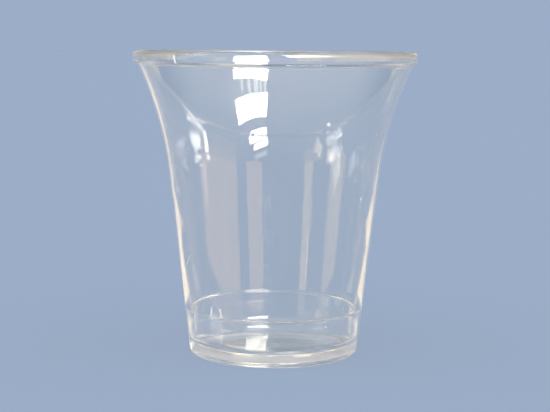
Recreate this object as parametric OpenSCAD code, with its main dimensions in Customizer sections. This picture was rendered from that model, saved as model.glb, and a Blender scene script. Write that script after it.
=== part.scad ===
// Small clear cup, moulded in one shot of crystal polystyrene.
// A tapered wall flares like a bell to a beaded rim. A ledge inside carries the foot of the next cup in a stack.
// Millimetres, +Z up, origin at the centre of the foot.

/* [Cup] */
// Overall height, from the table to the top of the rim
cup_h = 35; // [32:0.5:42]
// Diameter over the bead of the rim
rim_d = 32.7; // [31:0.1:37]
// Diameter that the outer wall would have at the table, before its corner is rounded
base_d = 19.6; // [18.6:0.1:20.6]

/* [Wall] */
// Thickness of the upper wall, square to its surface
wall_t = 0.55; // [0.45:0.01:0.7]
// Draft of the straight part of the wall, in degrees
wall_draft = 6.6; // [6:0.1:7.6]
// Height at which the straight wall starts to flare
flare_start = 20.8; // [17:0.1:24]

/* [Rim] */
// Height of the bead
bead_h = 1.35; // [1.1:0.05:1.8]
// How far the bead stands proud of the wall below it
bead_out = 0.42; // [0.35:0.01:0.6]
// Radius of the bead's outer top edge
bead_top_round = 0.55; // [0.2:0.01:0.55]
// Radius of the bead's outer bottom edge
bead_low_round = 0.2; // [0.1:0.01:0.25]
// Radius of the lip's inner top edge
lip_round = 0.2; // [0.1:0.01:0.25]
// Radius of the bend between the lip's inner face and the flare below it
lip_root_round = 1; // [0.5:0.1:1.8]
// Radius in the corner between the wall and the underside of the bead
bead_root_round = 0.12; // [0.05:0.01:0.15]

/* [Stacking ledge] */
// Gap between the walls of two nested cups, square to their surface
nest_gap = 0.05; // [0.03:0.01:0.15]
// How far the ledge reaches in under the outer wall of a nested cup's foot
seat_w = 0.55; // [0.5:0.01:0.9]
// Radius of the ledge's inner edge
ledge_edge_round = 0.18; // [0.05:0.01:0.2]
// Radius in the corner between the ledge and the upper wall
ledge_root_round = 0.15; // [0.05:0.01:0.25]
// Draft of the bore below the ledge, in degrees
bore_draft = 1; // [0.5:0.1:3]

/* [Foot] */
// Thickness of the floor
floor_t = 0.9; // [0.6:0.05:1.2]
// Radius in the corner between the floor and the bore
floor_round = 1; // [0.3:0.05:1.3]
// Radius of the foot's outer edge
foot_round = 0.3; // [0.1:0.01:0.35]
// Depth of the recess under the floor
recess_h = 0.45; // [0.3:0.05:0.7]
// Width of the foot ring round the recess
foot_w = 0.95; // [0.8:0.05:1.5]
// Draft of the recess's wall, in degrees
recess_draft = 12; // [5:1:20]
// Radius of the foot ring's inner edge and of the recess's corner
recess_round = 0.12; // [0.05:0.01:0.14]
// Diameter of the gate mark in the centre of the recess
gate_d = 1.6; // [1:0.1:2.5]
// Height of the gate mark, which stays clear of the table
gate_h = 0.18; // [0.1:0.01:0.2]
// Radius of the gate mark's edge
gate_round = 0.08; // [0.02:0.01:0.1]

/* [Hidden] */
// Straight steps in the flare's arc, and in each rounded corner
flare_steps = 24;
corner_steps = 8;
$fn = 180;

rim_r = rim_d / 2;
base_r = base_d / 2;

// The flare is one arc, tangent to the straight wall at its lower end. Its centre lies outside the cup.
flare_low = [base_r + flare_start * tan(wall_draft), flare_start];
flare_top = [rim_r - bead_out, cup_h - bead_h];
flare_rise = flare_top - flare_low;
flare_end = 2 * atan2(flare_rise[0], flare_rise[1]) - wall_draft;
flare_r = flare_rise[1] / (sin(flare_end) - sin(wall_draft));
flare_centre = flare_low + flare_r * [cos(wall_draft), -sin(wall_draft)];

// The ledge is as high as a nested cup has to stand for its wall to clear this one by nest_gap.
ledge_z = (wall_t + nest_gap) / sin(wall_draft);
ledge_out = base_r + ledge_z * tan(wall_draft) - wall_t / cos(wall_draft);
ledge_in = base_r - seat_w;

floor_z = recess_h + floor_t;
floor_r = ledge_in - (ledge_z - floor_z) * tan(bore_draft);
recess_r = base_r - foot_w;

// Points of an arc about centre c, from angle a to angle b
function arc(c, r, a, b, steps) =
    [for (i = [0:steps]) c + r * [cos(a + (b - a) * i / steps), sin(a + (b - a) * i / steps)]];

function unit(v) = v / norm(v);

// The corner at q between p and s, rounded to radius r
function corner(p, q, s, r) =
    let (
        u = unit(p - q),
        v = unit(s - q),
        half = acos(u * v) / 2,
        c = q + unit(u + v) * r / sin(half),
        from = q + u * r / tan(half) - c,
        to = q + v * r / tan(half) - c,
        a = atan2(from[1], from[0]),
        turn = atan2(to[1], to[0]) - a,
        b = a + (turn > 180 ? turn - 360 : turn < -180 ? turn + 360 : turn)
    )
    arc(c, r, a, b, corner_steps);

// The underside, from the axis out to the foot's outer edge
function underside() =
    let (
        gate_face = [0, recess_h - gate_h],
        gate_edge = [gate_d / 2, recess_h - gate_h],
        gate_root = [gate_d / 2, recess_h],
        recess_corner = [recess_r, recess_h],
        foot_in = [recess_r + recess_h * tan(recess_draft), 0],
        foot_out = [base_r, 0]
    )
    concat(
        [gate_face],
        corner(gate_face, gate_edge, gate_root, gate_round),
        [gate_root],
        corner(gate_root, recess_corner, foot_in, recess_round),
        corner(recess_corner, foot_in, foot_out, recess_round),
        corner(foot_in, foot_out, flare_low, foot_round)
    );

// The outer wall's flare. Its last point is the bead's root, which rim() rounds.
function flare_outside() =
    let (curve = arc(flare_centre, flare_r, 180 - wall_draft, 180 - flare_end, flare_steps))
    [for (i = [0:flare_steps - 1]) curve[i]];

// The rim, from the bead's root over the top to the root of the lip
function rim() =
    let (
        up_wall = [sin(flare_end), cos(flare_end)],
        bead_low = [rim_r, flare_top[1]],
        bead_top = [rim_r, cup_h],
        lip_low = flare_top + wall_t * [-cos(flare_end), sin(flare_end)],
        lip_top = [lip_low[0], cup_h]
    )
    concat(
        corner(flare_top - up_wall, flare_top, bead_low, bead_root_round),
        corner(flare_top, bead_low, bead_top, bead_low_round),
        corner(bead_low, bead_top, lip_top, bead_top_round),
        corner(bead_top, lip_top, lip_low, lip_round),
        corner(lip_top, lip_low, lip_low - up_wall, lip_root_round)
    );

// The inner wall's flare, about the same centre. Its first point is the lip's root, which rim() rounds.
function flare_inside() =
    let (curve = arc(flare_centre, flare_r + wall_t, 180 - flare_end, 180 - wall_draft, flare_steps))
    [for (i = [1:flare_steps]) curve[i]];

// The inside from the straight wall down over the ledge to the middle of the floor
function inside() =
    let (
        wall_low = flare_low + wall_t * [-cos(wall_draft), sin(wall_draft)],
        ledge_root = [ledge_out, ledge_z],
        ledge_edge = [ledge_in, ledge_z],
        floor_edge = [floor_r, floor_z],
        floor_centre = [0, floor_z]
    )
    concat(
        corner(wall_low, ledge_root, ledge_edge, ledge_root_round),
        corner(ledge_root, ledge_edge, floor_edge, ledge_edge_round),
        corner(ledge_edge, floor_edge, floor_centre, floor_round),
        [floor_centre]
    );

// The whole section on one side of the axis
function section() = concat(underside(), flare_outside(), rim(), flare_inside(), inside());

module cup() {
    color([0.86, 0.89, 0.93, 0.6])
        rotate_extrude()
            polygon(section());
}

cup();
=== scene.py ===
import math

import bmesh
import bpy
from mathutils import Matrix, Vector


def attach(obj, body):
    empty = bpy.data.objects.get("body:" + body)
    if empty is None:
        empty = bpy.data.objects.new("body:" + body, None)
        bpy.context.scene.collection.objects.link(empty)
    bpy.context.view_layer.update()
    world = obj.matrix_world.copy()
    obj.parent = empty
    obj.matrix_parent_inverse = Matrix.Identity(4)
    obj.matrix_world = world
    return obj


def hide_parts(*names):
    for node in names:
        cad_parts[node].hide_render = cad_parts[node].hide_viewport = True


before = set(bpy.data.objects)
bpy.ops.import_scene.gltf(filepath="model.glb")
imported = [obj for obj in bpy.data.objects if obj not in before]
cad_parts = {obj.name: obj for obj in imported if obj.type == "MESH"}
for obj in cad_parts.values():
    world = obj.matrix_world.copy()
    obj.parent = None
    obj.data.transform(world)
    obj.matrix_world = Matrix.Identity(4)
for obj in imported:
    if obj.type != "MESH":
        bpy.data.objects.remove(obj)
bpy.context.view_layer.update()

# THE CUP
# A small portion cup in one piece, injection moulded from crystal polystyrene. The wall tapers to let it
# off the core, flares like a bell and ends in a solid bead. A ledge inside carries the foot of the next
# cup in a stack. Lengths here are in millimetres: _R is a radius from the cup's axis, _Z a height above
# the table.
MM = 0.001
WALL, DRAFT = 0.55, math.radians(6.6)
BASE_R, RIM_R, CUP_H = 9.8, 16.35, 35
FLARE_Z, BEAD_H, BEAD_OUT = 20.8, 1.35, 0.42
LEDGE_Z, LEDGE_IN_R, LEDGE_OUT_R = 5.22, 9.25, 9.85
FLOOR_Z, FLOOR_R = 1.35, 9.182
RECESS_Z, RECESS_R, FOOT_IN_R = 0.45, 8.85, 8.946
GATE_Z, GATE_R = 0.27, 0.8

# The flare is an arc that leaves the straight wall along its draft and ends under the bead. The wall's two
# faces share its centre.
flare_low = Vector((BASE_R + FLARE_Z * math.tan(DRAFT), FLARE_Z))
flare_top = Vector((RIM_R - BEAD_OUT, CUP_H - BEAD_H))
rise = flare_top - flare_low
flare_end = 2 * math.atan2(rise.x, rise.y) - DRAFT
flare_r = rise.y / (math.sin(flare_end) - math.sin(DRAFT))
flare_centre = flare_low + flare_r * Vector((math.cos(DRAFT), -math.sin(DRAFT)))
lip_low = flare_top + WALL * Vector((-math.cos(flare_end), math.sin(flare_end)))
wall_low = flare_low + WALL * Vector((-math.cos(DRAFT), math.sin(DRAFT)))

# Corners of the section as (radius, height, rounding, its steps), in three runs joined by the two arcs.
underside = [
    (0, GATE_Z, 0, 0),
    (GATE_R, GATE_Z, 0.08, 3),
    (GATE_R, RECESS_Z, 0, 0),
    (RECESS_R, RECESS_Z, 0.12, 4),
    (FOOT_IN_R, 0, 0.12, 4),
    (BASE_R, 0, 0.3, 8),
    (*flare_low, 0, 0),
]
rim = [
    (*flare_top, 0.12, 4),
    (RIM_R, flare_top.y, 0.2, 6),
    (RIM_R, CUP_H, 0.55, 10),
    (lip_low.x, CUP_H, 0.2, 6),
    (*lip_low, 1.0, 6),
]
inside = [
    (*wall_low, 0, 0),
    (LEDGE_OUT_R, LEDGE_Z, 0.15, 5),
    (LEDGE_IN_R, LEDGE_Z, 0.18, 5),
    (FLOOR_R, FLOOR_Z, 1.0, 10),
    (0, FLOOR_Z, 0, 0),
]
# Vertices that are closer than this, in metres, become one.
WELD = 1e-6


def run(mesh, corners):
    """Lays a run of corners in the XZ plane, joined by edges, and returns its vertices."""
    row = [mesh.verts.new((r * MM, 0, z * MM)) for r, z, _, _ in corners]
    for a, b in zip(row, row[1:]):
        mesh.edges.new((a, b))
    return row


def settle(mesh):
    """Orders a mesh by the places of its parts, as spins and cuts leave that to chance from run to run."""
    for rank, vert in enumerate(sorted(mesh.verts, key=lambda v: v.co[:])):
        vert.index = rank
    mesh.verts.sort()
    for parts in (mesh.edges, mesh.faces):
        for rank, part in enumerate(sorted(parts, key=lambda p: sorted(v.index for v in p.verts))):
            part.index = rank
        parts.sort()


def revolve(mesh, steps):
    """Spins the whole section about the Z axis into a closed surface with smooth, outward faces."""
    bmesh.ops.spin(
        mesh, geom=mesh.verts[:] + mesh.edges[:], cent=(0, 0, 0), axis=(0, 0, 1), angle=2 * math.pi,
        steps=steps, use_merge=True,
    )
    bmesh.ops.remove_doubles(mesh, verts=mesh.verts[:], dist=WELD)
    bmesh.ops.recalc_face_normals(mesh, faces=mesh.faces[:])
    for face in mesh.faces:
        face.smooth = True
    settle(mesh)


mesh = bmesh.new()
rows = [run(mesh, corners) for corners in (underside, rim, inside)]
# The outer flare is spun up from the end of the underside, and the inner one down from the end of the rim.
pivot = Vector((flare_centre.x * MM, 0, flare_centre.y * MM))
for start, angle in ((rows[0][-1], flare_end - DRAFT), (rows[1][-1], DRAFT - flare_end)):
    bmesh.ops.spin(mesh, geom=[start], cent=pivot, axis=(0, 1, 0), angle=angle, steps=24)
bmesh.ops.remove_doubles(mesh, verts=mesh.verts[:], dist=WELD)
# Each rounding takes up a length "slide" of both edges at its corner.
for r, z, rounding, steps in underside + rim + inside:
    if not rounding:
        continue
    place = Vector((r * MM, 0, z * MM))
    corner = min(mesh.verts, key=lambda v: (v.co - place).length)
    along = [(e.other_vert(corner).co - place).normalized() for e in corner.link_edges]
    slide = rounding * MM / math.tan(along[0].angle(along[1]) / 2)
    bmesh.ops.bevel(
        mesh, geom=[corner], offset=slide, offset_type="OFFSET", segments=steps, profile=0.5,
        affect="VERTICES", material=-1,
    )
revolve(mesh, steps=256)

# The cup's materials by their place in its list. Polished plastic comes first, and these two follow.
WHITENED, RUBBED = 1, 2
# The bead is rubbed dull from RUBBED_Z up. In a gap at the near left that edge rises above the rim, so the
# bead stays clear there. Azimuths are in degrees, 0 in front and 90 to the right.
RUBBED_Z, GAP_RISE = 34.45, 0.6
GAP_START, GAP_OPENS_OVER = -42, 16
GAP_END, GAP_CLOSES_OVER = 9, 8
for face in mesh.faces:
    x, y, z = face.calc_center_median()
    azimuth = math.degrees(math.atan2(x, -y))
    spared = max(0, min(1, (azimuth - GAP_START) / GAP_OPENS_OVER, (GAP_END - azimuth) / GAP_CLOSES_OVER))
    if z > (RUBBED_Z + GAP_RISE * spared) * MM:
        face.material_index = RUBBED


# Two cosines, taken against the direction out of the cup at a groove: an outward face's normal is above the
# first, and a nearby face's place, seen from the axis, is above the second.
OUTWARD, NEARBY = 0.3, 0.998


def score(mesh, upper, lower, width):
    """Cuts a fine groove into the outer face between two points, each (azimuth in degrees, height in mm)."""
    azimuth = math.radians((upper[0] + lower[0]) / 2)
    out = Vector((math.sin(azimuth), -math.cos(azimuth), 0))
    ends = []
    for angle, height in (upper, lower):
        turned = Matrix.Rotation(math.radians(angle), 3, "Z") @ Vector((0, -1, 0))
        ends.append(turned * RIM_R * MM + Vector((0, 0, height * MM)))
    across = (ends[0] - ends[1]).cross(out).normalized()
    middle = (ends[0] + ends[1]) / 2

    def patch():
        """The outer faces near the groove: between its ends' heights, within 3.6 degrees of its azimuth."""
        return [
            f for f in mesh.faces
            if f.normal.dot(out) > OUTWARD and f.calc_center_median().xy.normalized().dot(out.xy) > NEARBY
            and max(v.co.z for v in f.verts) > lower[1] * MM and min(v.co.z for v in f.verts) < upper[1] * MM
        ]

    cuts = [((0, 0, lower[1] * MM), (0, 0, 1)), ((0, 0, upper[1] * MM), (0, 0, 1))]
    cuts += [(middle + side * across * width * MM / 2, across) for side in (-1, 1)]
    for point, normal in cuts:
        # A dictionary drops what repeats and keeps the order, so that each run gives the same mesh.
        faces = patch()
        edges = dict.fromkeys(e for f in faces for e in f.edges)
        verts = dict.fromkeys(v for f in faces for v in f.verts)
        geom = [*verts, *edges, *faces]
        bmesh.ops.bisect_plane(mesh, geom=geom, dist=1e-8, plane_co=point, plane_no=normal)
    strip = []
    for face in patch():
        centre = face.calc_center_median()
        if abs((centre - middle).dot(across)) < width * MM / 2 and lower[1] * MM < centre.z < upper[1] * MM:
            strip.append(face)
    inset = bmesh.ops.inset_region(mesh, faces=strip, thickness=width * MM / 5, depth=-width * MM / 4)
    for face in strip + inset["faces"]:
        face.material_index = WHITENED
        face.smooth = False
    settle(mesh)


# A hairline crack runs down the bead on its near left side. Handling has left a few fine scratches on the
# wall.
score(mesh, (-41.3, 34.6), (-41.0, 34.2), 0.24)
score(mesh, (-41.0, 34.2), (-40.2, 33.6), 0.24)
score(mesh, (-58.2, 12.15), (-62.4, 10.85), 0.2)
score(mesh, (-66.4, 19.68), (-65.7, 19.12), 0.1)
score(mesh, (59.4, 26.2), (60.2, 25.8), 0.1)
score(mesh, (54.6, 18.9), (53.6, 18.6), 0.1)
cup_mesh = bpy.data.meshes.new("clear_cup")
mesh.to_mesh(cup_mesh)
mesh.free()
cup = bpy.data.objects.new("clear_cup", cup_mesh)
bpy.context.scene.collection.objects.link(cup)
flat_faces = cup.modifiers.new("Flat faces stay flat", "WEIGHTED_NORMAL")
flat_faces.keep_sharp = True


def linear(hex_colour):
    """An sRGB hex colour as the linear RGBA that shaders take."""
    parts = [int(hex_colour[i : i + 2], 16) / 255 for i in (1, 3, 5)]
    return [c / 12.92 if c <= 0.04045 else ((c + 0.055) / 1.055) ** 2.4 for c in parts] + [1]


def add(tree, kind, inputs=None, **settings):
    """Adds a node, sets its properties, and fills its inputs with values or with other nodes' outputs."""
    made = tree.nodes.new("ShaderNode" + kind)
    for name, value in settings.items():
        setattr(made, name, value)
    for name, value in (inputs or {}).items():
        if isinstance(value, bpy.types.NodeSocket):
            tree.links.new(value, made.inputs[name])
        else:
            made.inputs[name].default_value = value
    return made


def new_material(name):
    """Makes a material without nodes and returns it with its tree."""
    material = bpy.data.materials.new(name)
    material.use_nodes = True
    material.node_tree.nodes.clear()
    return material, material.node_tree


def see_through(tree, surface):
    """Ends a clear material. Lamps and bounced light pass it straight, and its depth is slightly hazy."""
    path = add(tree, "LightPath").outputs
    passed = add(tree, "BsdfTransparent", {"Color": linear("#FAFAF8")}).outputs[0]
    lit = surface.outputs[0]
    for ray in ("Is Shadow Ray", "Is Diffuse Ray"):
        lit = add(tree, "MixShader", {0: path[ray], 1: lit, 2: passed}).outputs[0]
    haze = add(tree, "VolumeScatter", {"Color": linear("#FFF0D2"), "Density": 8.0})
    add(tree, "OutputMaterial", {"Surface": lit, "Volume": haze.outputs[0]})


# Crystal polystyrene, moulded against polished steel: water clear and glossy, with a trace of warm haze in
# its depth. The melt's flow up the wall leaves faint upright waves, which make mirrored light ragged.
IOR = 1.59
polystyrene, tree = new_material("polished_crystal_polystyrene")
place = add(tree, "TexCoord").outputs["Object"]
flow = add(tree, "Mapping", {"Vector": place, "Scale": (1, 1, 0.22)})
waves = add(
    tree, "TexNoise",
    {"Vector": flow.outputs["Vector"], "Scale": 1 / (4 * MM), "Detail": 2.0, "Roughness": 0.4},
)
drag = add(tree, "Mapping", {"Vector": place, "Scale": (1, 1, 0.03)})
lines = add(tree, "TexNoise", {"Vector": drag.outputs["Vector"], "Scale": 1 / (0.3 * MM), "Detail": 1.0})
relief = add(
    tree, "Math", {0: lines.outputs["Fac"], 1: 0.06, 2: waves.outputs["Fac"]}, operation="MULTIPLY_ADD",
)
surface = add(tree, "Bump", {"Height": relief.outputs[0], "Strength": 1.0, "Distance": 0.03 * MM})
clear = add(
    tree, "BsdfPrincipled",
    {
        "Base Color": linear("#FCFCFA"),
        "Roughness": 0.03,
        "IOR": IOR,
        "Transmission Weight": 1.0,
        "Sheen Weight": 0.5,
        "Sheen Roughness": 0.3,
        "Sheen Tint": linear("#FFF9EC"),
        "Normal": surface.outputs["Normal"],
    },
)
see_through(tree, clear)
cup_mesh.materials.append(polystyrene)

# Polystyrene that has cracked or been scratched scatters light, so it turns from clear to a fine grainy
# white.
whitened, tree = new_material("cracked_polystyrene")
place = add(tree, "TexCoord").outputs["Object"]
grains = add(tree, "TexNoise", {"Vector": place, "Scale": 1 / (0.05 * MM), "Detail": 2.0})
crumbs = add(tree, "Bump", {"Height": grains.outputs["Fac"], "Strength": 1.0, "Distance": 0.01 * MM})
broken = add(
    tree, "BsdfPrincipled",
    {
        "Base Color": linear("#FFFFFC"),
        "Roughness": 0.4,
        "IOR": IOR,
        "Specular IOR Level": 1.0,
        "Normal": crumbs.outputs["Normal"],
    },
)
add(tree, "OutputMaterial", {"Surface": broken.outputs[0]})
cup_mesh.materials.append(whitened)

# In places the top of the bead is rubbed dull by handling, and blurs what shows through it to a pale cream
# band.
rubbed, tree = new_material("rubbed_polystyrene")
dull = add(
    tree, "BsdfPrincipled",
    {"Base Color": linear("#FFFAEE"), "Roughness": 0.32, "IOR": IOR, "Transmission Weight": 1.0},
)
see_through(tree, dull)
cup_mesh.materials.append(rubbed)

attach(cup, "root")
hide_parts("cup")

# THE STAGE
# A wide pale sheet of card. It runs out to the horizon, where the sky has its tone, so that one plain tone
# lies behind the clear cup.
STAGE_R = 4000
mesh = bmesh.new()
run(mesh, [(0, 0, 0, 0), (STAGE_R, 0, 0, 0)])
revolve(mesh, steps=96)
stage_mesh = bpy.data.meshes.new("card_stage")
mesh.to_mesh(stage_mesh)
mesh.free()
stage = bpy.data.objects.new("card_stage", stage_mesh)
bpy.context.scene.collection.objects.link(stage)
CARD_BLUE = "#9CADC8"
card, tree = new_material("matt_card")
paper = add(
    tree, "BsdfPrincipled",
    {"Base Color": linear(CARD_BLUE), "Roughness": 1.0, "Specular IOR Level": 0.0},
)
add(tree, "OutputMaterial", {"Surface": paper.outputs[0]})
stage_mesh.materials.append(card)

# THE LIGHT
# A soft sky: warm white overhead and in front, the card's tone at the horizon, and darker high up behind,
# where it gives the clear bead and floor their dark lines. Softboxes stand round the cup for its walls to
# mirror.
world = bpy.data.worlds.new("soft_sky")
bpy.context.scene.world = world
world.use_nodes = True
sky = world.node_tree
sky.nodes.clear()
way = add(sky, "SeparateXYZ", {"Vector": add(sky, "TexCoord").outputs["Generated"]})


def ramp(axis, low, high):
    """Rises smoothly from 0 to 1 as the sky's direction along an axis goes from low to high."""
    made = add(
        sky, "MapRange", {"Value": way.outputs[axis], "From Min": low, "From Max": high},
        interpolation_type="SMOOTHSTEP",
    )
    return made.outputs["Result"]


horizon = add(sky, "Background", {"Color": linear(CARD_BLUE), "Strength": 1.0})
overhead = add(sky, "Background", {"Color": linear("#FFFCF5"), "Strength": 1.67})
back_wall = add(sky, "Background", {"Color": linear("#56647C"), "Strength": 1.0})
front = add(sky, "MixShader", {0: ramp("Z", 0.05, 0.9), 1: horizon.outputs[0], 2: overhead.outputs[0]})
back = add(sky, "MixShader", {0: ramp("Z", 0.08, 0.35), 1: horizon.outputs[0], 2: back_wall.outputs[0]})
dome = add(sky, "MixShader", {0: ramp("Y", -0.1, 0.8), 1: front.outputs[0], 2: back.outputs[0]})
add(sky, "OutputWorld", {"Surface": dome.outputs[0]})


# The lamps' colours, the point in the far wall that they face, and their distance from it in metres.
WINDOW, CREAM, STRAW, TAN, EDGE_CREAM = "#FFF6E6", "#FFE9C4", "#FFDE84", "#FFC97E", "#FFDFA4"
LAMP_AIM = Vector((0, 0.013, 0.03))
LAMP_DISTANCE = 0.6


def panel(name, width, height, radiance, colour, place):
    """A flat lamp of even radiance, facing its local -Z. Only the cup shows it, mirrored or bent."""
    lamp = bpy.data.lights.new(name, "AREA")
    lamp.shape = "RECTANGLE"
    lamp.size, lamp.size_y = width, height
    lamp.energy = radiance * math.pi * width * height
    lamp.color = linear(colour)[:3]
    box = bpy.data.objects.new(name, lamp)
    box.matrix_world = place
    box.visible_camera = False
    box.visible_diffuse = False
    bpy.context.scene.collection.objects.link(box)


def softbox(name, azimuths, elevations, radiance, colour, roll=0):
    """A panel that spans these angles in degrees, seen from the cup: azimuth 0 in front, 90 to the right."""
    azimuth, elevation = (math.radians(sum(pair) / 2) for pair in (azimuths, elevations))
    width, height = (
        2 * LAMP_DISTANCE * math.tan(math.radians(b - a) / 2) for a, b in (azimuths, elevations)
    )
    away = Vector((
        math.sin(azimuth) * math.cos(elevation),
        -math.cos(azimuth) * math.cos(elevation),
        math.sin(elevation),
    ))
    place = (
        Matrix.Translation(away * LAMP_DISTANCE + LAMP_AIM)
        @ away.to_track_quat("Z", "Y").to_matrix().to_4x4()
        @ Matrix.Rotation(math.radians(roll), 4, "Z")
    )
    panel(name, width * math.cos(elevation), height, radiance, colour, place)


# A lamp is named for the side of the picture that shows its light. The hollow far wall swaps left and
# right for those in front of the cup and beside it.
softbox("window_top", (8, 46), (43, 54), 30, WINDOW, roll=-6)
for start, end in ((10, 13), (15, 17), (19, 25), (28, 31), (36, 38)):
    softbox("window_slat", (start, end), (35.6, 43), 3.5, WINDOW, roll=-8)
softbox("window_middle", (9, 43), (25.6, 35.6), 50, WINDOW, roll=-10)
softbox("window_low_a", (9, 29), (17.1, 21.3), 40, WINDOW, roll=-10)
softbox("window_low_b", (9, 24), (14.3, 16.4), 40, WINDOW, roll=-10)
softbox("window_low_c", (9, 24), (10.2, 12.2), 2.4, WINDOW, roll=-10)
softbox("left_streak_a", (86, 88.8), (11.5, 15.5), 22, WINDOW)
softbox("left_streak_b", (84.8, 87.6), (8.5, 11.5), 22, WINDOW)
softbox("left_streak_c", (83.6, 85.8), (5.8, 8), 18, WINDOW)
softbox("left_strip_a", (94, 100), (9, 14.2), 2.5, WINDOW)
softbox("left_strip_b", (102.5, 105), (5, 13), 9, WINDOW)
softbox("left_strip_c", (90, 95), (1, 5), 1.6, CREAM)
softbox("right_strip_a", (-77, -64), (7, 12), 3, CREAM, roll=-12)
softbox("right_strip_b", (-64.5, -62), (18, 21), 8, WINDOW)
softbox("right_strip_c", (-57, -48), (10, 16), 2.8, CREAM, roll=25)
softbox("right_strip_d", (-110, -101), (2, 6), 1.6, WINDOW)
softbox("left_low", (46, 100), (-2.5, 8), 1.5, TAN)
softbox("left_middle", (46, 96), (8, 11.5), 0.9, TAN)
softbox("left_high", (46, 92), (11.5, 16), 0.45, TAN)
softbox("centre_low", (15, 34), (-2.5, 8.4), 1.6, TAN)
softbox("right_low_a", (-47, -37), (-2.5, 8), 1.8, STRAW)
softbox("right_middle", (-60, -35), (8, 13), 0.7, TAN)
softbox("right_low_b", (-92, -70), (-2.5, 8), 1.4, STRAW)
softbox("left_back_low", (190, 200), (4, 15), 1, CREAM)
softbox("left_back_high", (198, 217), (14.5, 20), 1.4, STRAW)
softbox("right_back_low", (160, 170), (4, 15), 1, CREAM)
softbox("right_back_high", (143, 162), (14.5, 20), 1.4, STRAW)
softbox("floor_glow", (181, 186), (12, 26), 1.4, CREAM)

# Strips of cream card lie on the floor behind the cup. The edges of its clear wall take their tone.
for x, y, turn, width, length, radiance in (
    (-0.0440, 0.0620, 26.5, 0.014, 0.10, 0.7),
    (-0.0828, 0.1488, 26.5, 0.032, 0.09, 0.6),
    (-0.0555, 0.069, 9, 0.018, 0.05, 0.6),
    (0.0496, 0.0731, -26.5, 0.014, 0.125, 0.7),
    (0.0555, 0.069, -9, 0.018, 0.05, 0.6),
):
    place = (
        Matrix.Translation((x, y, 0.5 * MM))
        @ Matrix.Rotation(math.radians(turn), 4, "Z")
        @ Matrix.Rotation(math.pi, 4, "Y")
    )
    panel("edge_card", width, length, radiance, EDGE_CREAM, place)

# THE CAMERA
# It stands close in front, a little above the rim, and looks down by seven degrees. Its focal length is
# known in pixels of a picture that is FRAME_PX wide.
FOCAL_PX, FRAME_PX, SENSOR = 1340, 550, 36
TILT, ROLL = 7.015, 0.5
lens = bpy.data.cameras.new("camera")
lens.sensor_width = SENSOR
lens.lens = FOCAL_PX / FRAME_PX * SENSOR
lens.clip_start = 0.01
camera = bpy.data.objects.new("camera", lens)
camera.matrix_world = (
    Matrix.Translation((0.0001, -0.1556, 0.03616))
    @ Matrix.Rotation(math.radians(90 - TILT), 4, "X")
    @ Matrix.Rotation(math.radians(ROLL), 4, "Z")
)
bpy.context.scene.collection.objects.link(camera)
bpy.context.scene.camera = camera

bpy.context.scene.view_settings.view_transform = "Standard"
# Light crosses many faces of the clear wall before it reaches the camera. The clamp is high enough for the
# windows that the floor mirrors to stay white.
for kind in ("max", "transmission", "glossy", "volume"):
    setattr(bpy.context.scene.cycles, kind + "_bounces", 40)
bpy.context.scene.cycles.sample_clamp_indirect = 32
